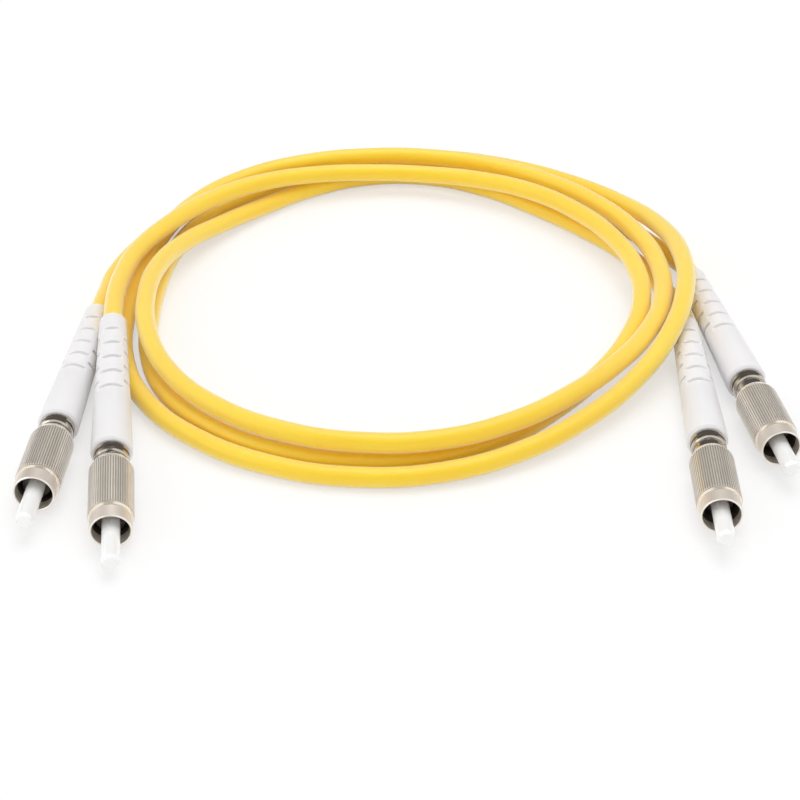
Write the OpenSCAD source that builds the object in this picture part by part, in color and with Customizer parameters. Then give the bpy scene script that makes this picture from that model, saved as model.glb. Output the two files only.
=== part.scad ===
// Pair of simplex fibre patch cords, coiled together, with a screw coupling connector on each end.
// Millimetres, +Z up, standing on Z = 0. A connector is drawn along +Z from the tail of its boot
// and then laid down in its place, so every distance called "at" runs along its axis from there.

/* [Cable] */
// Outer diameter of the cable jacket
cable_d = 3.0; // [2.8:0.1:3.2]
// Diameter of the buffered fibre inside the jacket
fibre_d = 0.9; // [0.6:0.05:1.0]

/* [Boot] */
// Length of the boot
boot_len = 32; // [28:1:40]
// Thickness of the boot's wall round the cable, at its tail
boot_tail_wall = 0.45; // [0.35:0.05:0.7]
// Thickness of the boot's wall round the crimp sleeve, at its front
boot_wall = 0.7; // [0.5:0.05:0.9]
// Distance from the tail to the first flex slot
slot_first = 4; // [3:0.5:6]
// Distance between neighbouring slots on the same side
slot_pitch = 3.7; // [3:0.1:4]
// Width of a slot
slot_w = 0.7; // [0.4:0.1:1.0]
// Thickness left between the bottom of a slot and the cable hole
slot_web = 0.15; // [0.1:0.05:0.2]

/* [Crimp sleeve] */
// Thickness of the crimp sleeve's wall
crimp_wall = 0.45; // [0.35:0.05:0.55]
// Length of jacket that the crimp sleeve grips
crimp_grip = 3.7; // [2:0.1:5]

/* [Backshell] */
// Length of the rear post that the yarn is crimped on
post_len = 8; // [7.6:0.2:10]
// Radial space for the yarn between the post and the crimp sleeve
yarn_space = 0.25; // [0.15:0.05:0.4]
// Length of the spigot that the boot's front sits on
spigot_len = 1.2; // [0.8:0.1:1.6]
// Height of the collar above the neck
collar_step = 0.3; // [0.2:0.05:0.5]
// Length of the collar
collar_len = 1.9; // [1.5:0.1:2.2]
// Width of the V groove round the collar
collar_groove = 0.4; // [0.2:0.05:0.5]
// Thickness of the neck's wall round the spring
neck_wall = 0.55; // [0.45:0.05:0.65]
// Length of the neck, which the coupling nut slides on
neck_len = 5.8; // [5.6:0.1:7]
// Distance from the front of the collar to the shoulder behind the spring
chamber_inset = 1.0; // [0.8:0.1:1.4]

/* [Front sleeve] */
// Thickness of the skirt's wall, which stops the nut
skirt_wall = 0.28; // [0.24:0.02:0.36]
// Length of neck that the skirt covers
skirt_overlap = 1.3; // [1.0:0.1:1.6]
// Length of the skirt in front of the neck
skirt_front = 1.6; // [1.2:0.1:2]
// Thickness of the nose's wall
nose_wall = 0.3; // [0.25:0.05:0.35]
// Distance from the neck to the front of the nose
nose_len = 6.5; // [5.5:0.1:7]
// Thickness of the lip at the front of the nose
lip_len = 0.9; // [0.6:0.1:1.2]
// Width of the key on the nose
key_w = 0.8; // [0.6:0.1:1.2]
// Height of the key above the nose
key_h = 0.35; // [0.2:0.05:0.35]

/* [Coupling nut] */
// Length of the coupling nut
nut_len = 13.4; // [12:0.1:15]
// Radial play of the nut round the front sleeve
nut_play = 0.1; // [0.06:0.02:0.14]
// Thickness of the nut's wall, from its bore to the ridges of the knurl
nut_wall = 0.55; // [0.5:0.05:0.8]
// Length of the plain ring at the nut's front
nut_ring_len = 2.3; // [1.5:0.1:3]
// Height of the ridges above the plain ring
nut_ring_step = 0.25; // [0.1:0.05:0.25]
// Thickness of the nut's rear lip, behind the retaining ring
nut_lip_len = 0.95; // [0.8:0.05:1.2]
// Number of ridges round the nut
knurl_count = 56; // [30:1:70]
// Depth of the knurl
knurl_depth = 0.1; // [0.05:0.01:0.15]
// Length of the chamfer at the rear
nut_chamfer = 0.9; // [0.5:0.1:0.9]
// Height of the chamfer at the rear
nut_end_drop = 0.4; // [0.2:0.05:0.4]
// Width of the groove between the knurl and the plain ring
nut_groove_w = 0.45; // [0.3:0.05:0.6]
// Depth of that groove below the plain ring
nut_groove_depth = 0.1; // [0.05:0.01:0.15]
// Gap from the collar to the nut on the left pair of connectors
nut_gap_left = 1.1; // [0.5:0.1:2]
// Gap from the collar to the nut on the right pair of connectors
nut_gap_right = 2.1; // [0.5:0.1:2.5]

/* [Retaining ring] */
// Depth of the nut's groove for the retaining ring
ring_groove_depth = 0.2; // [0.15:0.01:0.25]
// Thickness of the retaining ring
ring_t = 0.5; // [0.4:0.05:0.6]
// Width of the split in the ring
ring_split = 0.8; // [0.5:0.1:1.5]

/* [Ferrule] */
// Diameter of the ferrule
ferrule_d = 2.5; // [2.45:0.01:2.5]
// Length of ferrule in front of the nose
ferrule_out = 8.4; // [7:0.1:10]
// Length of the chamfer at the tip
tip_chamfer = 0.5; // [0.3:0.1:0.8]
// Thickness of the flange's wall round the ferrule
cup_wall = 0.55; // [0.5:0.05:0.65]
// Length of the flange
flange_len = 2.4; // [2.2:0.1:3]
// Thickness of the flange behind the ferrule
cup_floor = 0.7; // [0.5:0.1:1]
// Diameter of the flange's tail, inside the spring
tail_d = 2.0; // [1.7:0.1:2.1]
// Length of the flange's tail
tail_len = 4.4; // [3.5:0.1:4.6]

/* [Spring] */
// Diameter of the spring wire
wire_d = 0.35; // [0.25:0.05:0.4]
// Number of turns
spring_turns = 6.5; // [4:0.5:6.5]
// Radial play of the spring, inside and outside
spring_play = 0.15; // [0.1:0.01:0.2]

/* [Clearances] */
// Radial clearance round the cable and the crimp sleeve
cable_fit = 0.15; // [0.1:0.01:0.2]
// Radial clearance of a sliding or turning pair
slide_fit = 0.05; // [0.03:0.01:0.06]
// Radial clearance of a glued, pressed or screwed pair
bond_fit = 0.02; // [0.01:0.01:0.03]
// Gap between faces that meet
face_gap = 0.1; // [0.05:0.01:0.15]

/* [Hidden] */
$fn = 64;
eps = 0.01;

// Places along a connector's axis
collar_at = boot_len + face_gap;
neck_at = collar_at + collar_len;
chamber_at = neck_at + chamber_inset;
neck_end = neck_at + neck_len;
post_at = collar_at - post_len;
jacket_end = post_at - face_gap;
crimp_at = jacket_end - crimp_grip;
crimp_end = collar_at - spigot_len - 2 * face_gap;
cavity_at = crimp_at - face_gap;
slot_count = 1 + floor((cavity_at - slot_first - slot_w) / slot_pitch);
skirt_at = neck_end - skirt_overlap;
seat_at = neck_end + face_gap;
nose_at = neck_end + skirt_front;
nose_end = neck_end + nose_len;
lip_at = nose_end - lip_len;
flange_end = lip_at - slide_fit;
flange_at = flange_end - flange_len;
tail_at = flange_at - tail_len;
ferrule_at = flange_at + cup_floor;
ferrule_end = nose_end + ferrule_out;
ferrule_bore_end = ferrule_at + 2;
fibre_at = jacket_end + 1.3;

// Diameters round the cable, each on the piece inside it
crimp_bore_d = cable_d + 2 * cable_fit;
crimp_d = crimp_bore_d + 2 * crimp_wall;
post_d = crimp_bore_d - 2 * yarn_space;
post_bore_d = fibre_d + 4 * slide_fit;
boot_bore_d = cable_d + 2 * cable_fit;
boot_tail_d = boot_bore_d + 2 * boot_tail_wall;
boot_cavity_d = crimp_d + 2 * cable_fit;
boot_front_d = boot_cavity_d + 2 * boot_wall;
spigot_d = boot_cavity_d - 2 * slide_fit;

// Diameters round the spring and the ferrule, each on the piece inside it
fibre_bore_d = fibre_d + 2 * slide_fit;
spring_mean_d = tail_d + wire_d + 2 * spring_play;
chamber_d = spring_mean_d + wire_d + 2 * spring_play;
neck_d = chamber_d + 2 * neck_wall;
collar_d = neck_d + 2 * collar_step;
skirt_bore_d = neck_d + 2 * bond_fit;
skirt_d = skirt_bore_d + 2 * skirt_wall;
flange_d = ferrule_d + 2 * cup_wall;
sleeve_bore_d = flange_d + 2 * slide_fit;
nose_d = sleeve_bore_d + 2 * nose_wall;
lip_bore_d = ferrule_d + 4 * slide_fit;

// Diameters of the nut and its ring
nut_bore_d = skirt_d + 2 * nut_play;
nut_d = nut_bore_d + 2 * nut_wall;
nut_ring_d = nut_d - 2 * nut_ring_step;
nut_end_d = nut_d - 2 * nut_end_drop;
nut_lip_d = neck_d + 6 * slide_fit;
ring_groove_d = nut_bore_d + 2 * ring_groove_depth;
ring_d = ring_groove_d - 2 * slide_fit;
ring_bore_d = neck_d + 3 * slide_fit;

// Places along the nut, from its rear face
ring_groove_w = ring_t + 2 * slide_fit;
plain_at = nut_len - nut_ring_len;
knurl_end = plain_at - nut_groove_w;

// Centre of the coil in the part's frame. The frame's origin is at the middle of the four
// connectors, on the surface that the part lies on.
coil_centre = [-1.8, 31.1, 0.04];

// Each connector: tail of the boot, then turn about Z, nose down angle and the nut's gap
A1 = [[-47.6, -5.7, 2.3], -2.8, -1.5, nut_gap_left];
B1 = [[-44, -13.5, 5.6], 6.5, 3, nut_gap_left];
A2 = [[44.5, -9.5, 2.3], -1.5, -1.5, nut_gap_right];
B2 = [[47.4, 5.5, 2.3], 7.4, -1.5, nut_gap_right];

// Lay of each cord as [radius, height] of its centre line at every eighth of a turn, clockwise from
// the left. The cords cross over and under each other, so each pass has its own lane and level.
LAY_A = [
    [46.7, 1.6], [47.1, 1.5], [49.5, 1.6], [48.8, 2.4], [45.4, 6.8], [43.8, 3.2], [47.5, 1.6],
    [48.0, 1.7], [43.2, 1.7], [44.6, 4.7], [43.8, 4.8], [42.9, 4.6], [41.9, 5.1], [40.2, 5.0],
    [44.2, 5.1], [43.5, 4.9], [39.6, 5.6], [38.3, 2.0], [42.6, 1.5], [38.5, 1.5], [43.0, 1.6]
];
LAY_B = [
    [43.9, 5.9], [40.4, 6.0], [39.3, 3.7], [37.6, 5.1], [38.5, 4.3], [37.6, 1.7], [43.8, 1.6],
    [44.4, 1.5], [39.4, 1.5], [43.2, 1.5], [46.0, 1.5], [44.6, 1.5], [48.2, 1.6]
];
// First and last place of each coil in that lay, in eighths of a turn
COIL_A = [0.5, 19.5];
COIL_B = [0.5, 11.5];

// Free stretches between a coil and a boot, from the boot on
ROUTE_A1 = [[-47.2, 1.5, 1.9], [-46.7, 7.5, 1.7]];
ROUTE_B1 = [[-44.6, -5, 5.8], [-44.2, 1, 5.8], [-43, 7, 6.0]];
ROUTE_A2 = [[44.1, -2.5, 1.7], [42.8, 3, 1.5]];
ROUTE_B2 = [[46.4, 10.6, 1.9]];

// Swept tubes
cord_sides = 8;
rings_per_eighth = 3;
spring_sides = 6;
spring_rings = 8;

function unit(v) = v / norm(v);

// Smooth curve through the values, one unit of t apart
function through(v, t) =
    let (
        i = min(floor(t), len(v) - 2),
        f = t - i,
        a = v[i],
        b = v[i + 1],
        before = i > 0 ? v[i - 1] : 2 * a - b,
        after = i + 2 < len(v) ? v[i + 2] : 2 * b - a
    )
    a + f / 2 * (b - before + f * (2 * before - 5 * a + 4 * b - after
        + f * (3 * (a - b) + after - before)));

// Centre line of a coil, and its direction
function coil_point(lay, t) =
    let (at = through(lay, t), turn = 180 - 45 * t)
    [at[0] * cos(turn), at[0] * sin(turn), at[1]];
function coil_dir(lay, t) = unit(coil_point(lay, t + eps) - coil_point(lay, t - eps));
function coil_turns(lay, span) =
    let (steps = round((span[1] - span[0]) * rings_per_eighth))
    [for (k = [0 : steps]) coil_point(lay, span[0] + (span[1] - span[0]) * k / steps)];
// The ends run straight for one cable diameter
function coil_start(lay, span) = coil_point(lay, span[0]) - cable_d * coil_dir(lay, span[0]);
function coil_end(lay, span) = coil_point(lay, span[1]) + cable_d * coil_dir(lay, span[1]);
function coil_path(lay, span) =
    concat([coil_start(lay, span)], coil_turns(lay, span), [coil_end(lay, span)]);

function axis_dir(place) = [
    sin(place[1]) * cos(place[2]),
    -cos(place[1]) * cos(place[2]),
    -sin(place[2])
];
function axis_point(place, at) = place[0] + at * axis_dir(place);

// Path from the end of the jacket in a connector, out of its boot, to the face of a coil
function lead_path(place, route, face, dir) = concat(
    [axis_point(place, jacket_end), axis_point(place, 0), axis_point(place, -cable_d)],
    route,
    [face - cable_d * dir, face]
);

function least_gap(path, apart) = min([
    for (i = [0 : len(path) - 1 - apart])
        for (j = [i + apart : len(path) - 1]) norm(path[i] - path[j]) - cable_d
]);
function least_gap_between(one, other) = min([
    for (p = one) for (q = other) norm(p - q) - cable_d
]);

// Tube of the given diameter and number of sides round a path
module sweep(path, d, sides) {
    last = len(path) - 1;
    points = [
        for (i = [0 : last])
            let (
                along = unit(path[min(i + 1, last)] - path[max(i - 1, 0)]),
                side = unit(cross(along, [0, 0, 1])),
                up = cross(side, along)
            )
            for (k = [0 : sides - 1])
                path[i] + d / 2 * (cos(90 + 360 * k / sides) * side + sin(90 + 360 * k / sides) * up)
    ];
    walls = [
        for (i = [0 : last - 1])
            for (k = [0 : sides - 1])
                let (
                    a = i * sides + k,
                    b = i * sides + (k + 1) % sides,
                    c = b + sides,
                    e = a + sides
                )
                for (face = [[a, b, c], [a, c, e]]) face
    ];
    caps = [
        for (k = [1 : sides - 2])
            for (face = [[0, k + 1, k], [last * sides, last * sides + k, last * sides + k + 1]]) face
    ];
    polyhedron(points = points, faces = concat(walls, caps));
}

// Turned piece: the outline holds [radius, distance along the axis] pairs
module turned(outline) {
    rotate_extrude() polygon(outline);
}

module lay_down(place) {
    translate(coil_centre + place[0]) rotate([90 + place[2], 0, place[1]]) children();
}

// Boot with its cable hole, the cavity round the crimp sleeve and the flex slots behind it. Each
// pair of slots lies a quarter turn on from the pair before it.
module boot() {
    tail_r = boot_tail_d / 2;
    front_r = boot_front_d / 2;
    bore_r = boot_bore_d / 2;
    cavity_r = boot_cavity_d / 2;
    round_r = 0.35;
    color("white")
    difference() {
        turned([
            [bore_r, 0],
            [tail_r - round_r, 0],
            for (a = [-60 : 30 : 0]) [tail_r - round_r + round_r * cos(a), round_r + round_r * sin(a)],
            [front_r, boot_len - 2],
            [front_r, boot_len - round_r],
            [front_r - round_r, boot_len],
            [cavity_r, boot_len],
            [cavity_r, cavity_at],
            [bore_r, cavity_at]
        ]);
        for (i = [0 : 0.5 : slot_count - 1])
            translate([0, 0, slot_first + i * slot_pitch])
                rotate(180 * i)
                    flex_slots();
    }
}

// The two slots that face each other across the boot
module flex_slots() {
    for (side = [0, 1])
        mirror([0, side, 0])
            translate([-boot_front_d, boot_bore_d / 2 + slot_web, 0])
                cube([2 * boot_front_d, boot_front_d, slot_w]);
}

// Sleeve crimped on the jacket and on the yarn over the backshell's post
module crimp_sleeve() {
    lip = 0.3;
    color("silver")
    turned([
        [crimp_bore_d / 2, crimp_at],
        [crimp_d / 2 - lip, crimp_at],
        [crimp_d / 2, crimp_at + lip],
        [crimp_d / 2, crimp_end],
        [crimp_bore_d / 2, crimp_end]
    ]);
}

// Backshell in one piece: post, spigot, grooved collar and neck
module backshell() {
    edge = 0.2;
    collar_r = collar_d / 2;
    groove_at = collar_at + collar_len / 2 - collar_groove / 2;
    color("dimgray")
    difference() {
        turned([
            [post_bore_d / 2, post_at],
            [post_d / 2 - edge, post_at],
            [post_d / 2, post_at + edge],
            [post_d / 2, collar_at - spigot_len],
            [spigot_d / 2, collar_at - spigot_len],
            [spigot_d / 2, collar_at],
            [collar_r - edge / 2, collar_at],
            [collar_r, collar_at + edge / 2],
            [collar_r, groove_at],
            [collar_r - collar_groove / 2, groove_at + collar_groove / 2],
            [collar_r, groove_at + collar_groove],
            [collar_r, neck_at - edge],
            [collar_r - edge, neck_at],
            [neck_d / 2, neck_at],
            [neck_d / 2, neck_end],
            [chamber_d / 2, neck_end],
            [chamber_d / 2, chamber_at],
            [post_bore_d / 2, chamber_at]
        ]);
        for (i = [1 : 4])
            translate([0, 0, post_at + 1.2 * i]) post_groove();
    }
}

// Shallow ring cut in the post, which the yarn is pressed into
module post_groove() {
    depth = 0.15;
    width = 0.4;
    turned([
        [post_d / 2 - depth, 0],
        [post_d / 2 + depth, 0],
        [post_d / 2 + depth, width],
        [post_d / 2 - depth, width]
    ]);
}

// Front sleeve: skirt over the neck, nose with its lip, and the key on top
module front_sleeve() {
    edge = 0.2;
    color("gray")
    union() {
        turned([
            [skirt_bore_d / 2, skirt_at],
            [skirt_d / 2, skirt_at],
            [skirt_d / 2, nose_at - edge],
            [skirt_d / 2 - edge, nose_at],
            [nose_d / 2, nose_at],
            [nose_d / 2, nose_end - edge],
            [nose_d / 2 - edge, nose_end],
            [lip_bore_d / 2, nose_end],
            [lip_bore_d / 2, lip_at],
            [sleeve_bore_d / 2, lip_at],
            [sleeve_bore_d / 2, seat_at],
            [skirt_bore_d / 2, seat_at]
        ]);
        translate([-key_w / 2, nose_d / 2 - edge, nose_at])
            cube([key_w, key_h + edge, nose_end - edge - nose_at]);
    }
}

// Split ring that holds the nut on the neck, sprung into the nut's groove
module retaining_ring(place) {
    color("darkgray")
    translate([0, 0, neck_at + place[3] + nut_lip_len + slide_fit])
        difference() {
            turned([
                [ring_bore_d / 2, 0],
                [ring_d / 2, 0],
                [ring_d / 2, ring_t],
                [ring_bore_d / 2, ring_t]
            ]);
            translate([-ring_split / 2, -ring_d, -eps])
                cube([ring_split, ring_d, ring_t + 2 * eps]);
        }
}

// Knurled coupling nut, open at the front
module coupling_nut(place) {
    color("silver")
    translate([0, 0, neck_at + place[3]])
        difference() {
            union() {
                nut_blank();
                knurl();
            }
            nut_bore();
        }
}

// Outside of the nut below the knurl
module nut_blank() {
    root_r = nut_d / 2 - knurl_depth;
    ring_r = nut_ring_d / 2;
    front_chamfer = 0.1;
    turned([
        [0, 0],
        [nut_end_d / 2, 0],
        [root_r, nut_chamfer],
        [root_r, knurl_end],
        [ring_r - nut_groove_depth, knurl_end],
        [ring_r - nut_groove_depth, plain_at],
        [ring_r, plain_at],
        [ring_r, nut_len - front_chamfer],
        [ring_r - front_chamfer, nut_len],
        [0, nut_len]
    ]);
}

// Straight ridges round the nut, cut to the chamfer at the rear and at the front
module knurl() {
    root_r = nut_d / 2 - knurl_depth;
    step = 360 / knurl_count;
    crest = 0.2;
    edge = 0.25;
    intersection() {
        translate([0, 0, nut_chamfer / 2])
            linear_extrude(knurl_end - nut_chamfer / 2)
                polygon([
                    for (i = [0 : knurl_count - 1], side = [-1, 0, 1, 2])
                        let (
                            r = side == 2 ? root_r - knurl_depth / 2 : nut_d / 2,
                            a = side == 2 ? (i + 0.5) * step : (i + crest * side) * step
                        )
                        [r * cos(a), r * sin(a)]
                ]);
        turned([
            [0, 0],
            [nut_end_d / 2, 0],
            [nut_d / 2, nut_chamfer + edge],
            [nut_d / 2, knurl_end - edge],
            [nut_d / 2 - edge, knurl_end],
            [0, knurl_end]
        ]);
    }
}

// Inside of the nut: rear lip, groove for the retaining ring, and the bore
module nut_bore() {
    flare = 0.1;
    turned([
        [0, -eps],
        [nut_lip_d / 2, -eps],
        [nut_lip_d / 2, nut_lip_len],
        [ring_groove_d / 2, nut_lip_len],
        [ring_groove_d / 2, nut_lip_len + ring_groove_w],
        [nut_bore_d / 2, nut_lip_len + ring_groove_w],
        [nut_bore_d / 2, nut_len - flare],
        [nut_bore_d / 2 + flare + eps, nut_len + eps],
        [0, nut_len + eps]
    ]);
}

// Ceramic ferrule, a hair slimmer where the flange holds it, with a long taper up to its full size
module ferrule() {
    held_r = ferrule_d / 2 - bond_fit;
    tip_r = ferrule_d / 2 - 0.3;
    full_at = nose_end + face_gap;
    taper = 0.7;
    color("whitesmoke")
    turned([
        [fibre_bore_d / 2, ferrule_at],
        [held_r, ferrule_at],
        [held_r, full_at - taper],
        [ferrule_d / 2, full_at],
        [ferrule_d / 2, ferrule_end - tip_chamfer],
        [tip_r, ferrule_end],
        [0, ferrule_end],
        [0, ferrule_bore_end],
        [fibre_bore_d / 2, ferrule_bore_end]
    ]);
}

// Metal flange with the cup that holds the ferrule and the tail that guides the spring
module ferrule_flange() {
    edge = 0.2;
    color("gray")
    turned([
        [fibre_bore_d / 2, tail_at],
        [tail_d / 2, tail_at],
        [tail_d / 2, flange_at],
        [flange_d / 2 - edge, flange_at],
        [flange_d / 2, flange_at + edge],
        [flange_d / 2, flange_end - edge],
        [flange_d / 2 - edge, flange_end],
        [ferrule_d / 2, flange_end],
        [ferrule_d / 2, ferrule_at - bond_fit],
        [fibre_bore_d / 2, ferrule_at - bond_fit]
    ]);
}

// Coil spring between the backshell's shoulder and the flange
module spring() {
    first = chamber_at + wire_d / 2 + face_gap / 2;
    travel = flange_at - chamber_at - wire_d - face_gap;
    count = round(spring_turns * spring_rings);
    path = [
        for (i = [0 : count])
            let (a = 360 * i / spring_rings)
            [spring_mean_d / 2 * cos(a), spring_mean_d / 2 * sin(a), first + travel * i / count]
    ];
    echo(least_gap_of_the_spring = travel / spring_turns - wire_d);
    color("lightgray") sweep(path, wire_d, spring_sides);
}

// Buffered fibre from the end of the jacket into the ferrule
module buffered_fibre() {
    color("ivory")
    translate([0, 0, fibre_at])
        cylinder(d = fibre_d, h = ferrule_bore_end - face_gap - fibre_at);
}

module coil(lay, span) {
    path = coil_path(lay, span);
    echo(least_gap_of_the_coil_to_itself = least_gap(path, 4 * rings_per_eighth));
    color("gold") translate(coil_centre) sweep(path, cable_d, cord_sides);
}

module lead(place, route, face, dir) {
    path = lead_path(place, route, face, dir);
    color("gold") translate(coil_centre) sweep(path, cable_d, cord_sides);
}

module boot_a1() { lay_down(A1) boot(); }
module boot_a2() { lay_down(A2) boot(); }
module boot_b1() { lay_down(B1) boot(); }
module boot_b2() { lay_down(B2) boot(); }
module crimp_sleeve_a1() { lay_down(A1) crimp_sleeve(); }
module crimp_sleeve_a2() { lay_down(A2) crimp_sleeve(); }
module crimp_sleeve_b1() { lay_down(B1) crimp_sleeve(); }
module crimp_sleeve_b2() { lay_down(B2) crimp_sleeve(); }
module backshell_a1() { lay_down(A1) backshell(); }
module backshell_a2() { lay_down(A2) backshell(); }
module backshell_b1() { lay_down(B1) backshell(); }
module backshell_b2() { lay_down(B2) backshell(); }
module front_sleeve_a1() { lay_down(A1) front_sleeve(); }
module front_sleeve_a2() { lay_down(A2) front_sleeve(); }
module front_sleeve_b1() { lay_down(B1) front_sleeve(); }
module front_sleeve_b2() { lay_down(B2) front_sleeve(); }
module retaining_ring_a1() { lay_down(A1) retaining_ring(A1); }
module retaining_ring_a2() { lay_down(A2) retaining_ring(A2); }
module retaining_ring_b1() { lay_down(B1) retaining_ring(B1); }
module retaining_ring_b2() { lay_down(B2) retaining_ring(B2); }
module coupling_nut_a1() { lay_down(A1) coupling_nut(A1); }
module coupling_nut_a2() { lay_down(A2) coupling_nut(A2); }
module coupling_nut_b1() { lay_down(B1) coupling_nut(B1); }
module coupling_nut_b2() { lay_down(B2) coupling_nut(B2); }
module ferrule_a1() { lay_down(A1) ferrule(); }
module ferrule_a2() { lay_down(A2) ferrule(); }
module ferrule_b1() { lay_down(B1) ferrule(); }
module ferrule_b2() { lay_down(B2) ferrule(); }
module ferrule_flange_a1() { lay_down(A1) ferrule_flange(); }
module ferrule_flange_a2() { lay_down(A2) ferrule_flange(); }
module ferrule_flange_b1() { lay_down(B1) ferrule_flange(); }
module ferrule_flange_b2() { lay_down(B2) ferrule_flange(); }
module spring_a1() { lay_down(A1) spring(); }
module spring_a2() { lay_down(A2) spring(); }
module spring_b1() { lay_down(B1) spring(); }
module spring_b2() { lay_down(B2) spring(); }
module buffered_fibre_a1() { lay_down(A1) buffered_fibre(); }
module buffered_fibre_a2() { lay_down(A2) buffered_fibre(); }
module buffered_fibre_b1() { lay_down(B1) buffered_fibre(); }
module buffered_fibre_b2() { lay_down(B2) buffered_fibre(); }

module coil_a() {
    echo(least_gap_between_the_coils =
        least_gap_between(coil_path(LAY_A, COIL_A), coil_path(LAY_B, COIL_B)));
    coil(LAY_A, COIL_A);
}
module coil_b() { coil(LAY_B, COIL_B); }
module lead_a1() { lead(A1, ROUTE_A1, coil_start(LAY_A, COIL_A), coil_dir(LAY_A, COIL_A[0])); }
module lead_b1() { lead(B1, ROUTE_B1, coil_start(LAY_B, COIL_B), coil_dir(LAY_B, COIL_B[0])); }
module lead_a2() { lead(A2, ROUTE_A2, coil_end(LAY_A, COIL_A), -coil_dir(LAY_A, COIL_A[1])); }
module lead_b2() { lead(B2, ROUTE_B2, coil_end(LAY_B, COIL_B), -coil_dir(LAY_B, COIL_B[1])); }

boot_a1();
crimp_sleeve_a1();
backshell_a1();
front_sleeve_a1();
retaining_ring_a1();
coupling_nut_a1();
ferrule_a1();
ferrule_flange_a1();
spring_a1();
buffered_fibre_a1();
boot_a2();
crimp_sleeve_a2();
backshell_a2();
front_sleeve_a2();
retaining_ring_a2();
coupling_nut_a2();
ferrule_a2();
ferrule_flange_a2();
spring_a2();
buffered_fibre_a2();
boot_b1();
crimp_sleeve_b1();
backshell_b1();
front_sleeve_b1();
retaining_ring_b1();
coupling_nut_b1();
ferrule_b1();
ferrule_flange_b1();
spring_b1();
buffered_fibre_b1();
boot_b2();
crimp_sleeve_b2();
backshell_b2();
front_sleeve_b2();
retaining_ring_b2();
coupling_nut_b2();
ferrule_b2();
ferrule_flange_b2();
spring_b2();
buffered_fibre_b2();
coil_a();
lead_a1();
lead_a2();
coil_b();
lead_b1();
lead_b2();
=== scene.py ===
# %% [markdown]
# # A coiled pair of fibre patch cords
#
# Two thin yellow cables lie coiled together on a pale table. Each one ends in a white rubber boot,
# a turned metal collar, a knurled coupling nut and a bare white ceramic ferrule, so there are four
# connectors in all. The solid parts come from the imported model, which is loaded first and never
# moved. This script gives them their finishes, lays the two cables as smooth curves, gives each
# hidden spring a copy that rides with its ferrule, and sets up the light and the camera.

# %% Load the imported model
import math

import bpy
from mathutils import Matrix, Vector


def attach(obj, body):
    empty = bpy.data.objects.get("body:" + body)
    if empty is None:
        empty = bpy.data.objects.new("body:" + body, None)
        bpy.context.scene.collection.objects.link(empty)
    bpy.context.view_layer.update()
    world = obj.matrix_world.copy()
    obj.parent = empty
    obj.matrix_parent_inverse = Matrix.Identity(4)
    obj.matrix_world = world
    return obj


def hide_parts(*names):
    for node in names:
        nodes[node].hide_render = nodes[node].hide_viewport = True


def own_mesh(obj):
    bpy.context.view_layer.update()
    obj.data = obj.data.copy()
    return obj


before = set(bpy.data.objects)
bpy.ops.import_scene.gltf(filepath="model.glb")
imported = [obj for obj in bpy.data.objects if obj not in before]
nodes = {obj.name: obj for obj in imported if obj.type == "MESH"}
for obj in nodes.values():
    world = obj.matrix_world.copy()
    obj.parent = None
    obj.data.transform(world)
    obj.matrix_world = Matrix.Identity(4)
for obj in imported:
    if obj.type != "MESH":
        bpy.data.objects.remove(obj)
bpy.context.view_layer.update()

# %% [markdown]
# ## The camera
#
# A long lens shows a small product with little distortion, and a camera placed closer with a
# short lens would swell the connectors in front. So the camera stands well back from the coil,
# 160 mm up, and looks down on it. All of its numbers are real distances from the middle of the
# coil, so they are easy to change.

# %% Camera
MM = 0.001
coil_centre = Vector((-1.8, 31.1, 0.04)) * MM
camera_back = 259 * MM
camera_height = 160 * MM
camera_down = 34.5
lens_mm = 85
sensor_mm = 36

camera_data = bpy.data.cameras.new("camera")
camera_data.lens = lens_mm
camera_data.sensor_width = sensor_mm
camera_data.clip_start = 10 * MM
camera_data.dof.use_dof = False
camera = bpy.data.objects.new("camera", camera_data)
bpy.context.scene.collection.objects.link(camera)
camera.location = coil_centre + Vector((0, -camera_back, camera_height))
camera.rotation_euler = (math.radians(90 - camera_down), 0, 0)
bpy.context.scene.camera = camera
print("camera at", [round(v, 4) for v in camera.location])

# %% [markdown]
# ## Where the connectors lie
#
# Each connector lies along its own axis, which starts at the tail of its boot. A place and two
# angles are enough to say where it is: how far it turns towards +X, and how far its nose points
# down. The cables start inside the boots, and the turned metal carries marks around them, so the
# axes come before both.

# %% Connector axes
connector_tails = {
    "a1": ((-47.6, -5.7, 2.3), -2.8, -1.5),
    "b1": ((-44, -13.5, 5.6), 6.5, 3),
    "a2": ((44.5, -9.5, 2.3), -1.5, -1.5),
    "b2": ((47.4, 5.5, 2.3), 7.4, -1.5),
}
ferrule_tip_mm = 54.7


def connector_axis(end):
    turn, down = (math.radians(v) for v in connector_tails[end][1:])
    return Vector((
        math.sin(turn) * math.cos(down),
        -math.cos(turn) * math.cos(down),
        -math.sin(down),
    ))


def along_connector(end, distance_mm):
    """The point on a connector's axis at that distance from the tail of its boot."""
    tail = coil_centre + Vector(connector_tails[end][0]) * MM
    return tail + connector_axis(end) * distance_mm * MM


for end in connector_tails:
    tip = along_connector(end, ferrule_tip_mm)
    print(end, "tip of the ferrule at", [round(v, 4) for v in tip])

# %% [markdown]
# ## The lay of the cables
#
# A cable in a coil never lies in a perfect circle. It drifts in and out, climbs over the strand
# beside it and drops back to the table. So each coil is given as a short list of stations, one at
# every eighth of a turn, that hold how far out the cable is and how high. A smooth curve through
# the stations then gives every point in between. The free ends that lead to the boots are short
# lists of points.

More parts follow.
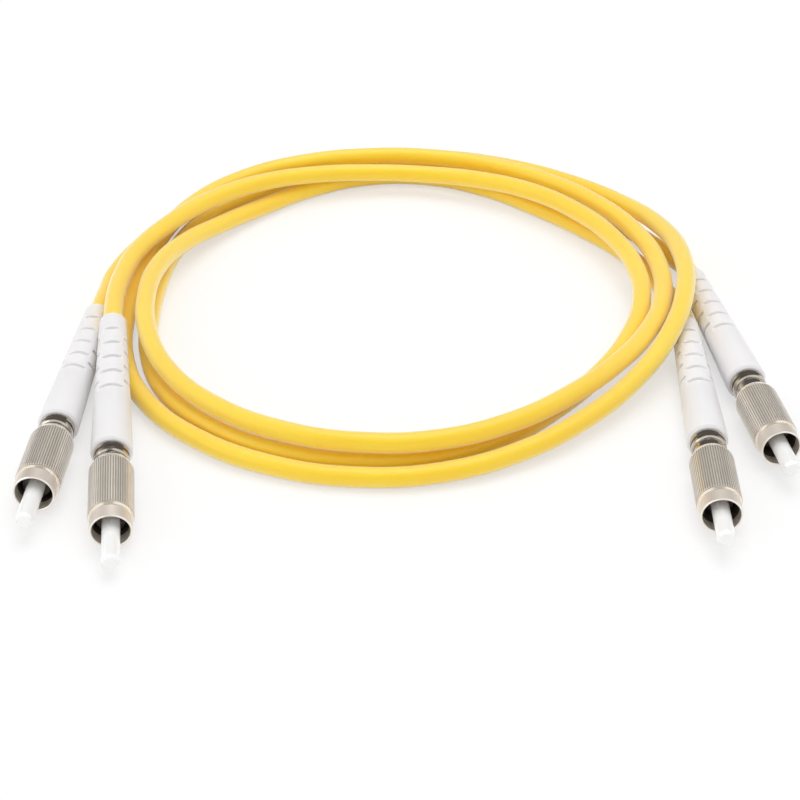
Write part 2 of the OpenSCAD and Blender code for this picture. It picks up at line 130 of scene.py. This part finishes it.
# %% Stations and routes, in millimetres
lay_a = [
    (46.7, 1.6), (47.1, 1.5), (49.5, 1.6), (48.8, 2.4), (45.4, 6.8), (43.8, 3.2), (47.5, 1.6),
    (48.0, 1.7), (43.2, 1.7), (44.6, 4.7), (43.8, 4.8), (42.9, 4.6), (41.9, 5.1), (40.2, 5.0),
    (44.2, 5.1), (43.5, 4.9), (39.6, 5.6), (38.3, 2.0), (42.6, 1.5), (38.5, 1.5), (43.0, 1.6),
]
lay_b = [
    (43.9, 5.9), (40.4, 6.0), (39.3, 3.7), (37.6, 5.1), (38.5, 4.3), (37.6, 1.7), (43.8, 1.6),
    (44.4, 1.5), (39.4, 1.5), (43.2, 1.5), (46.0, 1.5), (44.6, 1.5), (48.2, 1.6),
]
span_a = (0.5, 19.5)
span_b = (0.5, 11.5)
first_station_turn = 180
station_step_turn = 45
points_per_station = 3
routes = {
    "a1": [(-47.2, 1.5, 1.9), (-46.7, 7.5, 1.7)],
    "b1": [(-44.6, -5, 5.8), (-44.2, 1, 5.8), (-43, 7, 6.0)],
    "a2": [(44.1, -2.5, 1.7), (42.8, 3, 1.5)],
    "b2": [(46.4, 10.6, 1.9)],
}


def through(values, t):
    """The smooth curve through the values, one unit of t apart."""
    i = min(int(t), len(values) - 2)
    f = t - i
    a, b = values[i], values[i + 1]
    before = values[i - 1] if i > 0 else 2 * a - b
    after = values[i + 2] if i + 2 < len(values) else 2 * b - a
    bend = 2 * before - 5 * a + 4 * b - after + f * (3 * (a - b) + after - before)
    return a + f / 2 * (b - before + f * bend)


def coil_point(lay, t):
    """The middle of the cable at t stations along its coil."""
    radius = through([station[0] for station in lay], t)
    height = through([station[1] for station in lay], t)
    turn = math.radians(first_station_turn - station_step_turn * t)
    return coil_centre + Vector((radius * math.cos(turn), radius * math.sin(turn), height)) * MM


def coil_points(lay, span):
    first, last = span
    steps = round((last - first) * points_per_station)
    return [coil_point(lay, first + (last - first) * k / steps) for k in range(steps + 1)]


print("coil a has", len(coil_points(lay_a, span_a)), "points")
print("coil b has", len(coil_points(lay_b, span_b)), "points")

# %% [markdown]
# ## Cables as curves
#
# The jacket is a round tube drawn over the fibre. It could be a swept mesh, but a round section
# carried along a line is exactly what a curve with a bevel is, and a curve stays smooth and easy
# to change. The bevel is one metre deep and each point scales it down by its own radius, so that
# Blender's box round the curve, which reaches one point radius past each point, fits the cable as
# well. A Bezier spline with automatic handles passes smoothly through every point, so the cable
# shows no kinks where a lead meets its coil. The curve runs from the end of the jacket inside one
# boot to the end of the jacket inside the other, in one unbroken piece.

# %% Cable curves
cable_diameter = 3.0 * MM
cable_sides = 24
steps_between_points = 5
jacket_end_mm = 24.0
cable_straight_mm = 3.0


def lead_points(end):
    """From inside the boot, straight out of its tail, and on to the coil."""
    inside = [along_connector(end, d) for d in (jacket_end_mm, jacket_end_mm / 2, 0)]
    outside = [along_connector(end, -cable_straight_mm)]
    return inside + outside + [coil_centre + Vector(p) * MM for p in routes[end]]


def curve_object(name, points, diameter, sides):
    data = bpy.data.curves.new(name, "CURVE")
    data.dimensions = "3D"
    data.bevel_depth = 1.0
    data.bevel_resolution = sides // 4 - 1
    data.resolution_u = steps_between_points
    data.use_fill_caps = True
    data.twist_mode = "Z_UP"
    spline = data.splines.new("BEZIER")
    spline.bezier_points.add(len(points) - 1)
    for bezier, point in zip(spline.bezier_points, points):
        bezier.co = point
        bezier.radius = diameter / 2
        bezier.handle_left_type = "AUTO"
        bezier.handle_right_type = "AUTO"
    piece = bpy.data.objects.new(name, data)
    bpy.context.scene.collection.objects.link(piece)
    return piece


def line_length(points):
    return sum((b - a).length for a, b in zip(points, points[1:]))


cables = {}
for letter, lay, span in (("a", lay_a, span_a), ("b", lay_b, span_b)):
    first, last = letter + "1", letter + "2"
    points = lead_points(first) + coil_points(lay, span) + lead_points(last)[::-1]
    cable = curve_object("cable_" + letter, points, cable_diameter, cable_sides)
    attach(cable, "cord_pair")
    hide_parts("coil_" + letter, "lead_" + first, "lead_" + last)
    cables[letter] = cable
    print(cable.name, "is", round(line_length(points), 3), "m long")

# %% [markdown]
# ## Spring copies
#
# When a ferrule is pushed back, the spring behind it is squeezed: its front end travels with the
# ferrule, and its rear end stays on the shoulder inside the backshell. Left as a rigid solid, the
# spring would cut into that shoulder. Each spring is copied from its solid with a mesh of its own,
# and the copy rides with the ferrule. Nothing in this script squashes it.


def soft_spring(end):
    solid = nodes["spring_" + end]
    spring = bpy.data.objects.new("soft_spring_" + end, solid.data.copy())
    bpy.context.scene.collection.objects.link(spring)
    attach(spring, "ferrule_set_" + end)
    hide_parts(solid.name)
    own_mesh(spring)
    return spring


springs = {end: soft_spring(end) for end in connector_tails}

# %% [markdown]
# ## Shader groups
#
# Several finishes share the same effects. Copying the nodes into every material would make them
# hard to change, so each effect is built once as a node group and placed in the materials with
# its own values. A group gives only colours, values and masks, and the shader stays in the
# material. A few helpers keep the building of node trees short.

# %% Helpers for node trees
def new_group(name, inputs, outputs):
    group = bpy.data.node_groups.new(name, "ShaderNodeTree")
    for label, kind, value in inputs:
        socket = group.interface.new_socket(label, in_out="INPUT", socket_type=kind)
        socket.default_value = value
    for label, kind in outputs:
        group.interface.new_socket(label, in_out="OUTPUT", socket_type=kind)
    group_start = group.nodes.new("NodeGroupInput")
    group_end = group.nodes.new("NodeGroupOutput")
    return group, group_start, group_end


def add(tree, kind, **settings):
    node = tree.nodes.new(kind)
    for key, value in settings.items():
        setattr(node, key, value)
    return node


def math_node(tree, operation, first, second=0.0, clamp=False):
    """The result of a sum. Each side is a number or another node's output."""
    node = add(tree, "ShaderNodeMath", operation=operation, use_clamp=clamp)
    for socket, value in zip(node.inputs, (first, second)):
        if isinstance(value, (int, float)):
            socket.default_value = value
        else:
            tree.links.new(value, socket)
    return node.outputs[0]


def vector_node(tree, operation, first, second=None, scale=None):
    node = add(tree, "ShaderNodeVectorMath", operation=operation)
    for socket, value in zip(node.inputs, (first, second)):
        if value is not None:
            tree.links.new(value, socket)
    if scale is not None:
        tree.links.new(scale, node.inputs["Scale"])
    return node


print("helpers for node trees are ready")

# %% [markdown]
# Turned parts carry fine rings round their axis, the valleys of a knurl get a painted shade that
# makes them darker than its ridges, and some cuts are brighter than the rest. All of these need to
# know where a point is on its connector: how far along the axis, and how far from it. The first
# group works that out.

# %% Group: place on a connector's axis
axis_group, start, end_node = new_group(
    "place on axis",
    [
        ("Point", "NodeSocketVector", (0, 0, 0)),
        ("Tail", "NodeSocketVector", (0, 0, 0)),
        ("Axis", "NodeSocketVector", (0, -1, 0)),
    ],
    [("Along", "NodeSocketFloat"), ("Radius", "NodeSocketFloat")],
)
from_tail = vector_node(axis_group, "SUBTRACT", start.outputs["Point"], start.outputs["Tail"])
along = vector_node(axis_group, "DOT_PRODUCT", from_tail.outputs[0], start.outputs["Axis"])
on_axis = vector_node(
    axis_group, "SCALE", start.outputs["Axis"], scale=along.outputs["Value"]
)
across = vector_node(axis_group, "SUBTRACT", from_tail.outputs[0], on_axis.outputs[0])
radius = vector_node(axis_group, "LENGTH", across.outputs[0])
axis_group.links.new(along.outputs["Value"], end_node.inputs["Along"])
axis_group.links.new(radius.outputs["Value"], end_node.inputs["Radius"])
print("group:", axis_group.name)

# %% [markdown]
# No real surface is one flat colour. This group mixes two near shades in soft patches and lets
# the roughness swing a little with a fine grain. The same grain is given out as a height, for a
# slight bump.

# %% Group: uneven surface
patch_detail = 3
grain_detail = 5
patch_low, patch_high = 0.3, 0.7

uneven_group, start, end_node = new_group(
    "uneven surface",
    [
        ("Point", "NodeSocketVector", (0, 0, 0)),
        ("Base", "NodeSocketColor", (0.8, 0.8, 0.8, 1)),
        ("Tint", "NodeSocketColor", (0.7, 0.7, 0.7, 1)),
        ("Patch Scale", "NodeSocketFloat", 200.0),
        ("Grain Scale", "NodeSocketFloat", 4000.0),
        ("Roughness", "NodeSocketFloat", 0.4),
        ("Roughness Spread", "NodeSocketFloat", 0.1),
    ],
    [
        ("Color", "NodeSocketColor"),
        ("Roughness", "NodeSocketFloat"),
        ("Height", "NodeSocketFloat"),
    ],
)
patches = add(uneven_group, "ShaderNodeTexNoise")
patches.inputs["Detail"].default_value = patch_detail
grain = add(uneven_group, "ShaderNodeTexNoise")
grain.inputs["Detail"].default_value = grain_detail
for noise, scale in ((patches, "Patch Scale"), (grain, "Grain Scale")):
    uneven_group.links.new(start.outputs["Point"], noise.inputs["Vector"])
    uneven_group.links.new(start.outputs[scale], noise.inputs["Scale"])
spread = add(uneven_group, "ShaderNodeMapRange")
spread.inputs["From Min"].default_value = patch_low
spread.inputs["From Max"].default_value = patch_high
uneven_group.links.new(patches.outputs["Fac"], spread.inputs["Value"])
tinted = add(uneven_group, "ShaderNodeMix", data_type="RGBA")
uneven_group.links.new(spread.outputs["Result"], tinted.inputs["Factor"])
uneven_group.links.new(start.outputs["Base"], tinted.inputs["A"])
uneven_group.links.new(start.outputs["Tint"], tinted.inputs["B"])
swing = math_node(uneven_group, "SUBTRACT", grain.outputs["Fac"], 0.5)
swing = math_node(uneven_group, "MULTIPLY", swing, start.outputs["Roughness Spread"])
rough = math_node(uneven_group, "ADD", start.outputs["Roughness"], swing, clamp=True)
uneven_group.links.new(tinted.outputs["Result"], end_node.inputs["Color"])
uneven_group.links.new(rough, end_node.inputs["Roughness"])
uneven_group.links.new(grain.outputs["Fac"], end_node.inputs["Height"])
print("group:", uneven_group.name)

# %% [markdown]
# A cutting tool leaves rings of uneven depth. A noise that changes in only one direction makes
# them: along the axis on a cylinder and outwards on a face, so the two distances are added.

# %% Group: turning marks
marks_per_mm = 8.0
marks_detail = 4

turning_group, start, end_node = new_group(
    "turning marks",
    [
        ("Along", "NodeSocketFloat", 0.0),
        ("Radius", "NodeSocketFloat", 0.0),
        ("Strength", "NodeSocketFloat", 0.5),
    ],
    [("Height", "NodeSocketFloat")],
)
travel = math_node(turning_group, "ADD", start.outputs["Along"], start.outputs["Radius"])
phase = math_node(turning_group, "MULTIPLY", travel, marks_per_mm / MM)
marks = add(turning_group, "ShaderNodeTexNoise", noise_dimensions="1D")
marks.inputs["Scale"].default_value = 1.0
marks.inputs["Detail"].default_value = marks_detail
turning_group.links.new(phase, marks.inputs["W"])
depth = math_node(turning_group, "MULTIPLY", marks.outputs["Fac"], start.outputs["Strength"])
turning_group.links.new(depth, end_node.inputs["Height"])
print("group:", turning_group.name)

# %% [markdown]
# The ridges of the knurl are real shapes, but they are so fine that their valleys also get a
# painted shade, a darker colour where shadow would fall between them. The painted shade fades out
# from the root of a valley to the crest of a ridge. Anything that lies deeper than the roots isn't
# part of the knurl and stays bright.

# %% Group: shade between the ridges
below_the_knurl = 0.99

ridge_group, start, end_node = new_group(
    "painted shade between ridges",
    [
        ("Color", "NodeSocketColor", (0.8, 0.8, 0.8, 1)),
        ("Shade", "NodeSocketColor", (0.4, 0.4, 0.4, 1)),
        ("Radius", "NodeSocketFloat", 0.0),
        ("Root", "NodeSocketFloat", 0.003),
        ("Crest", "NodeSocketFloat", 0.0031),
    ],
    [("Color", "NodeSocketColor")],
)
rise = add(ridge_group, "ShaderNodeMapRange")
for label, source in (("Value", "Radius"), ("From Min", "Root"), ("From Max", "Crest")):
    ridge_group.links.new(start.outputs[source], rise.inputs[label])
just_below = math_node(ridge_group, "MULTIPLY", start.outputs["Root"], below_the_knurl)
beside = math_node(ridge_group, "LESS_THAN", start.outputs["Radius"], just_below)
bright = math_node(ridge_group, "MAXIMUM", rise.outputs["Result"], beside)
shaded = add(ridge_group, "ShaderNodeMix", data_type="RGBA")
ridge_group.links.new(bright, shaded.inputs["Factor"])
ridge_group.links.new(start.outputs["Shade"], shaded.inputs["A"])
ridge_group.links.new(start.outputs["Color"], shaded.inputs["B"])
ridge_group.links.new(shaded.outputs["Result"], end_node.inputs["Color"])
print("group:", ridge_group.name)

# %% [markdown]
# A turned part can have a bright cut or a satin ring at a known place, and a groove or a bore can
# take a painted shade there. This group is a mask that is 1 between two places along the axis and
# within a radius, so that the finish of a bore, painted shade included, can differ from the
# outside around it.

# %% Group: band round the axis
band_group, start, end_node = new_group(
    "band round axis",
    [
        ("Along", "NodeSocketFloat", 0.0),
        ("Radius", "NodeSocketFloat", 0.0),
        ("From", "NodeSocketFloat", 0.0),
        ("To", "NodeSocketFloat", 0.001),
        ("Within", "NodeSocketFloat", 1.0),
    ],
    [("Mask", "NodeSocketFloat")],
)
after_start = math_node(
    band_group, "GREATER_THAN", start.outputs["Along"], start.outputs["From"]
)
before_end = math_node(band_group, "LESS_THAN", start.outputs["Along"], start.outputs["To"])
between = math_node(band_group, "MULTIPLY", after_start, before_end)
within = math_node(band_group, "LESS_THAN", start.outputs["Radius"], start.outputs["Within"])
inside = math_node(band_group, "MULTIPLY", between, within)
band_group.links.new(inside, end_node.inputs["Mask"])
print("group:", band_group.name)

# %% [markdown]
# ## Materials
#
# Colours are written as they look on a screen, and a small helper turns them into the linear
# values that Blender works in. Every material keeps its own Principled shader, with the numbers
# that are the same all over set on the shader itself. Most of them start from the same uneven
# surface, so one helper makes that.

# %% Helpers for materials
def screen_colour(red, green, blue):
    """A linear colour from the 0 to 255 values of a screen."""
    def linear(value):
        value /= 255
        return value / 12.92 if value <= 0.04045 else ((value + 0.055) / 1.055) ** 2.4

    return (linear(red), linear(green), linear(blue), 1)


def new_material(name, **shader_values):
    material = bpy.data.materials.new(name)
    material.use_nodes = True
    shader = material.node_tree.nodes["Principled BSDF"]
    for label, value in shader_values.items():
        shader.inputs[label.replace("_", " ")].default_value = value
    return material, material.node_tree, shader


def object_point(tree):
    return add(tree, "ShaderNodeTexCoord").outputs["Object"]


def place_group(tree, group, **values):
    """Put a group in a tree. Each value is a constant or another node's output."""
    node = add(tree, "ShaderNodeGroup", node_tree=group)
    for label, value in values.items():
        socket = node.inputs[label.replace("_", " ")]
        if hasattr(value, "is_output"):
            tree.links.new(value, socket)
        else:
            socket.default_value = value
    return node


def blend(tree, data_type, mask, below, above):
    """The value or colour below, covered by the one above where the mask is 1."""
    node = add(tree, "ShaderNodeMix", data_type=data_type)
    tree.links.new(mask, node.inputs["Factor"])
    sockets = [socket for socket in node.inputs if socket.enabled]
    tree.links.new(below, sockets[1])
    sockets[2].default_value = above
    return next(socket for socket in node.outputs if socket.enabled)


def bump(tree, shader, height, depth_mm):
    """Tilt the shader's normal as if the height stood that deep."""
    node = add(tree, "ShaderNodeBump")
    node.inputs["Distance"].default_value = depth_mm * MM
    tree.links.new(height, node.inputs["Height"])
    tree.links.new(node.outputs["Normal"], shader.inputs["Normal"])


def uneven_material(name, surface_values, bump_mm, **shader_values):
    """A material with the same uneven surface all over."""
    material, tree, shader = new_material(name, **shader_values)
    surface = place_group(tree, uneven_group, Point=object_point(tree), **surface_values)
    tree.links.new(surface.outputs["Color"], shader.inputs["Base Color"])
    tree.links.new(surface.outputs["Roughness"], shader.inputs["Roughness"])
    bump(tree, shader, surface.outputs["Height"], bump_mm)
    print("material:", name)
    return material


print("mid grey of a screen is", round(screen_colour(128, 128, 128)[0], 3), "in linear light")

# %% [markdown]
# ### Cable jacket
#
# The jacket is smooth soft plastic. Light enters it and comes back out deeper in colour, which
# subsurface scattering gives, and its edges look paler where the eye meets them at a slant. Sheen
# alone is too weak for that, so a painted sheen also turns the colour itself paler with the facing
# angle.

# %% Jacket
edge_width = 0.5
edge_power = 1.5
edge_sheen_share = 0.55


def paint_edge_sheen(material, pale):
    """Paint a sheen: cover a material's colour with a paler one where it turns away from the eye.
    """
    tree = material.node_tree
    base_socket = tree.nodes["Principled BSDF"].inputs["Base Color"]
    edge = add(tree, "ShaderNodeLayerWeight")
    edge.inputs["Blend"].default_value = edge_width
    sheen_share = math_node(tree, "POWER", edge.outputs["Facing"], edge_power)
    sheen_share = math_node(tree, "MULTIPLY", sheen_share, edge_sheen_share)
    colour = blend(tree, "RGBA", sheen_share, base_socket.links[0].from_socket, pale)
    tree.links.new(colour, base_socket)


jacket = uneven_material(
    "yellow jacket",
    dict(
        Base=screen_colour(255, 217, 50),
        Tint=screen_colour(255, 211, 40),
        Patch_Scale=60.0,
        Grain_Scale=2500.0,
        Roughness=0.36,
        Roughness_Spread=0.16,
    ),
    bump_mm=0.02,
    Specular_IOR_Level=0.5,
    Subsurface_Weight=0.3,
    Subsurface_Scale=1.2 * MM,
    Subsurface_Radius=(1.0, 0.45, 0.1),
    Sheen_Weight=0.6,
    Sheen_Roughness=0.4,
)
# the pale colour is a painted sheen along the jacket's edges
paint_edge_sheen(jacket, screen_colour(255, 240, 180))
for cable in cables.values():
    cable.data.materials.append(jacket)

# %% [markdown]
# ### Moulded boot
#
# The boots are moulded from a soft white plastic with a dull skin. Plain white would look like
# paper, so light scatters a little way into them, evenly in all colours.

# %% Boot
boot = uneven_material(
    "white boot",
    dict(
        Base=screen_colour(240, 238, 239),
        Tint=screen_colour(237, 235, 236),
        Patch_Scale=90.0,
        Grain_Scale=6000.0,
        Roughness=0.5,
        Roughness_Spread=0.2,
    ),
    bump_mm=0.03,
    Specular_IOR_Level=0.45,
    Subsurface_Weight=0.5,
    Subsurface_Scale=1.2 * MM,
    Subsurface_Radius=(1.0, 1.0, 1.0),
)

# %% [markdown]
# ### Turned and plated metal
#
# The metal parts are turned brass with a nickel plate. They could share one material, but the
# turning marks run round each connector's own axis, so every part gets a material that knows its
# axis. Bands then change the finish at known places along it, and some of these bands are painted
# shade.

# %% Plated metal
cut_depth_mm = 0.01


def plated_material(
    name, end, base, tint, roughness, metallic=1.0, strength=0.5, ridges=None, bands=()
):
    """Nickel plate over a turned part.

    ridges is the painted shade for the knurl's valleys and the knurl's two radii in mm. Each band
    is its start and end along the connector and the radius it stays within, all in mm, with a
    colour and a roughness of its own.
    """
    material, tree, shader = new_material(name, Metallic=metallic)
    point = object_point(tree)
    place = place_group(
        tree,
        axis_group,
        Point=point,
        Tail=along_connector(end, 0),
        Axis=connector_axis(end),
    )
    surface = place_group(
        tree,
        uneven_group,
        Point=point,
        Base=base,
        Tint=tint,
        Patch_Scale=700.0,
        Grain_Scale=9000.0,
        Roughness=roughness,
        Roughness_Spread=0.2,
    )
    turning = place_group(
        tree,
        turning_group,
        Along=place.outputs["Along"],
        Radius=place.outputs["Radius"],
        Strength=strength,
    )
    colour = surface.outputs["Color"]
    if ridges:
        shade, root_mm, crest_mm = ridges
        shaded = place_group(
            tree,
            ridge_group,
            Color=colour,
            Shade=shade,
            Radius=place.outputs["Radius"],
            Root=root_mm * MM,
            Crest=crest_mm * MM,
        )
        colour = shaded.outputs["Color"]
    rough = surface.outputs["Roughness"]
    for first_mm, last_mm, within_mm, band_colour, band_roughness in bands:
        band = place_group(
            tree,
            band_group,
            Along=place.outputs["Along"],
            Radius=place.outputs["Radius"],
            From=first_mm * MM,
            To=last_mm * MM,
            Within=within_mm * MM,
        )
        colour = blend(tree, "RGBA", band.outputs["Mask"], colour, band_colour)
        rough = blend(tree, "FLOAT", band.outputs["Mask"], rough, band_roughness)
    tree.links.new(colour, shader.inputs["Base Color"])
    tree.links.new(rough, shader.inputs["Roughness"])
    bump(tree, shader, turning.outputs["Height"], cut_depth_mm)
    print("material:", name)
    return material


# %% [markdown]
# The nut is knurled for most of its length, then comes a bright groove and a plain satin ring
# round the mouth. The plate is set to a little less than fully metallic, because the fine knurl
# scatters light like a matt surface. Deep in the bore it is dull, and a painted shade makes it
# dark.

# %% Coupling nut
collar_front_mm = 34.0
nut_gap_mm = {"a1": 1.1, "b1": 1.1, "a2": 2.1, "b2": 2.1}
knurl_root_mm = 3.05
knurl_crest_mm = 3.15
outside_mm = 5.0
bore_mm = 2.65


def nut_material(end):
    nut_rear = collar_front_mm + nut_gap_mm[end]
    rear_chamfer = (nut_rear - 0.1, nut_rear + 0.9)
    groove = (nut_rear + 10.6, nut_rear + 11.2)
    plain_ring = (nut_rear + 11.2, nut_rear + 13.3)
    bore = (nut_rear, nut_rear + 11.6)
    bright_cut = screen_colour(255, 248, 238)
    satin = screen_colour(232, 222, 210)
    # deep is a painted shade for the bore, where little light reaches
    deep = screen_colour(118, 108, 98)
    return plated_material(
        "knurled nickel " + end,
        end,
        base=screen_colour(252, 246, 238),
        tint=screen_colour(245, 238, 228),
        roughness=0.34,
        metallic=0.7,
        # painted shade in the knurl's valleys, darkest at their roots
        ridges=(screen_colour(192, 182, 167), knurl_root_mm, knurl_crest_mm),
        bands=(
            (*rear_chamfer, outside_mm, bright_cut, 0.25),
            (*groove, outside_mm, bright_cut, 0.1),
            (*plain_ring, outside_mm, satin, 0.5),
            # the bore's band of painted shade
            (*bore, bore_mm, deep, 0.45),
        ),
    )


nut_materials = {end: nut_material(end) for end in connector_tails}

# %% [markdown]
# The backshell's collar and neck are polished and show the dark and bright parts of the room. The
# V groove round the collar is too narrow to fall dark by itself, so a dull band of painted shade,
# dark brown, lies in it. The front sleeve stands deep in the nut's mouth, and its colour is a
# painted shade that makes it the darkest of the metal parts.

# %% Backshell and front sleeve
collar_groove_mm = (32.8, 33.3)


def backshell_material(end):
    # painted shade in the collar's V groove
    painted_groove_shade = screen_colour(92, 82, 72)
    return plated_material(
        "dark nickel " + end,
        end,
        base=screen_colour(206, 199, 188),
        tint=screen_colour(188, 180, 168),
        roughness=0.18,
        strength=0.3,
        bands=((*collar_groove_mm, outside_mm, painted_groove_shade, 0.4),),
    )


def sleeve_material(end):
    # the sleeve's dark base and tint are a painted shade for its place deep in the nut's mouth
    return plated_material(
        "sleeve nickel in painted shade " + end,
        end,
        base=screen_colour(66, 60, 56),
        tint=screen_colour(54, 50, 46),
        roughness=0.3,
    )


backshell_materials = {end: backshell_material(end) for end in connector_tails}
sleeve_materials = {end: sleeve_material(end) for end in connector_tails}

# %% [markdown]
# ### Ceramic, steel and fibre
#
# Zirconia is a dense white ceramic, polished until it shines. Its high index of refraction gives
# the hard gloss, and a little scattering keeps it from looking like painted metal. The springs,
# the crimped sleeves and the fibre are hidden in use, so they get plain finishes.

# %% Ceramic, steel and fibre
ceramic = uneven_material(
    "white zirconia",
    dict(
        Base=screen_colour(255, 255, 254),
        Tint=screen_colour(252, 252, 251),
        Patch_Scale=150.0,
        Grain_Scale=12000.0,
        Roughness=0.14,
        Roughness_Spread=0.08,
    ),
    bump_mm=0.002,
    IOR=2.1,
    Specular_IOR_Level=0.5,
    Subsurface_Weight=0.25,
    Subsurface_Scale=0.8 * MM,
    Subsurface_Radius=(1.0, 0.98, 0.94),
)


def plain_material(name, base, tint, roughness, metallic):
    surface_values = dict(
        Base=screen_colour(*base),
        Tint=screen_colour(*tint),
        Patch_Scale=900.0,
        Grain_Scale=8000.0,
        Roughness=roughness,
        Roughness_Spread=0.15,
    )
    return uneven_material(name, surface_values, bump_mm=0.005, Metallic=metallic)


spring_steel = plain_material("spring steel", (176, 176, 178), (150, 150, 152), 0.3, 1.0)
crimped = plain_material("crimped nickel", (196, 190, 180), (176, 170, 160), 0.35, 1.0)
buffer_plastic = plain_material("fibre buffer", (244, 240, 224), (236, 230, 212), 0.4, 0.0)

# %% [markdown]
# Each solid had a plain stand-in colour when it was loaded. It goes, and the finish takes its
# place. The shape of a solid is never touched.

# %% Give every solid its finish
def give(piece, material):
    piece.data.materials.clear()
    piece.data.materials.append(material)


for end in connector_tails:
    give(nodes["boot_" + end], boot)
    give(nodes["crimp_sleeve_" + end], crimped)
    give(nodes["backshell_" + end], backshell_materials[end])
    give(nodes["front_sleeve_" + end], sleeve_materials[end])
    give(nodes["retaining_ring_" + end], spring_steel)
    give(nodes["coupling_nut_" + end], nut_materials[end])
    give(nodes["ferrule_" + end], ceramic)
    give(nodes["ferrule_flange_" + end], crimped)
    give(springs[end], spring_steel)
    give(nodes["buffered_fibre_" + end], buffer_plastic)
print("finished", len(connector_tails), "connectors")

# %% [markdown]
# ## Table
#
# A white table under a white sky makes the pale studio look of a product shot. The table still
# has to carry the soft shadow of the cables. A table that only glows would show no shadow, and
# one that only reflects would look grey, so its own shading shows through a bright share that
# only the camera and the reflections see.

# %% Table
table_half = 3.0
glow_share = 0.55


def table_material():
    material, tree, shader = new_material(
        "pale table", Base_Color=(0.95, 0.95, 0.95, 1), Roughness=0.9, Specular_IOR_Level=0.1
    )
    glow = add(tree, "ShaderNodeEmission")
    glow.inputs["Strength"].default_value = 1.0
    light_path = add(tree, "ShaderNodeLightPath")
    seen = math_node(
        tree, "MAXIMUM", light_path.outputs["Is Camera Ray"], light_path.outputs["Is Glossy Ray"]
    )
    share = math_node(tree, "MULTIPLY", seen, glow_share)
    mix = add(tree, "ShaderNodeMixShader")
    tree.links.new(share, mix.inputs[0])
    tree.links.new(shader.outputs[0], mix.inputs[1])
    tree.links.new(glow.outputs[0], mix.inputs[2])
    tree.links.new(mix.outputs[0], tree.nodes["Material Output"].inputs["Surface"])
    return material


corners = [(-1, -1), (1, -1), (1, 1), (-1, 1)]
table_mesh = bpy.data.meshes.new("table")
table_mesh.from_pydata([(x * table_half, y * table_half, 0) for x, y in corners], [], [range(4)])
table_mesh.materials.append(table_material())
table = bpy.data.objects.new("table", table_mesh)
bpy.context.scene.collection.objects.link(table)
print("table", 2 * table_half, "m wide")

# %% [markdown]
# ## The room
#
# The sky is plain white for the camera and a little dimmer as a light. Polished metal has no
# colour of its own and would look like paper between a white sky and a white table, so
# photographers stand a black card behind the work. The camera itself is dark too and shows in
# the metal. Here the sky holds both as soft round patches, and only reflections see them.

# %% World
sky_seen = 1.0
sky_light = 0.75
# Each patch is a direction, its radius and soft edge in degrees, and how dark it is
dark_patches = {
    "card behind the work": (Vector((0.0, 0.92, 0.38)), 42, 12, 0.88),
    "camera": (Vector((0.0, -0.83, 0.55)), 18, 5, 0.9),
}

world = bpy.data.worlds.new("studio")
bpy.context.scene.world = world
world.use_nodes = True
tree = world.node_tree
background = tree.nodes["Background"]
background.inputs["Color"].default_value = (1, 1, 1, 1)
light_path = add(tree, "ShaderNodeLightPath")
seen = math_node(
    tree, "MAXIMUM", light_path.outputs["Is Camera Ray"], light_path.outputs["Is Glossy Ray"]
)
seen = math_node(tree, "MAXIMUM", seen, light_path.outputs["Is Transmission Ray"])
strength = add(tree, "ShaderNodeMix", data_type="FLOAT")
strength.inputs["A"].default_value = sky_light
strength.inputs["B"].default_value = sky_seen
tree.links.new(seen, strength.inputs["Factor"])
sky_direction = add(tree, "ShaderNodeTexCoord").outputs["Generated"]
level = strength.outputs["Result"]
for name, (direction, patch_radius, patch_edge, darkness) in dark_patches.items():
    towards = add(tree, "ShaderNodeVectorMath", operation="DOT_PRODUCT")
    towards.inputs[1].default_value = direction.normalized()
    tree.links.new(sky_direction, towards.inputs[0])
    patch = add(tree, "ShaderNodeMapRange", interpolation_type="SMOOTHSTEP")
    patch.inputs["From Min"].default_value = math.cos(math.radians(patch_radius + patch_edge))
    patch.inputs["From Max"].default_value = math.cos(math.radians(patch_radius - patch_edge))
    patch.inputs["To Max"].default_value = darkness
    tree.links.new(towards.outputs["Value"], patch.inputs["Value"])
    held_back = math_node(
        tree, "MULTIPLY", patch.outputs["Result"], light_path.outputs["Is Glossy Ray"]
    )
    open_share = math_node(tree, "SUBTRACT", 1.0, held_back)
    level = math_node(tree, "MULTIPLY", level, open_share)
    print("reflections see a dark", name, 2 * patch_radius, "degrees wide")
tree.links.new(level, background.inputs["Strength"])

# %% [markdown]
# ## Lamps
#
# The sky alone would light the cables from every side and leave them flat. A large softbox above
# and behind the coil gives the tops a soft highlight and drops a soft shadow to the front, and a
# weaker one on the left keeps that side of the boots clean.

# %% Lights
def area_light(name, place, size, power):
    data = bpy.data.lights.new(name, "AREA")
    data.shape = "SQUARE"
    data.size = size
    data.energy = power
    light = bpy.data.objects.new(name, data)
    light.location = place
    light.rotation_euler = (coil_centre - Vector(place)).to_track_quat("-Z", "Y").to_euler()
    bpy.context.scene.collection.objects.link(light)
    print(name, "gives", power, "W")


area_light("softbox above", place=(0.05, 0.15, 0.6), size=0.5, power=1.5)
area_light("fill from the left", place=(-0.6, -0.2, 0.35), size=0.4, power=0.5)

# %% [markdown]
# ## View transform

# %% View transform
bpy.context.scene.view_settings.view_transform = "Standard"
bpy.context.view_layer.update()
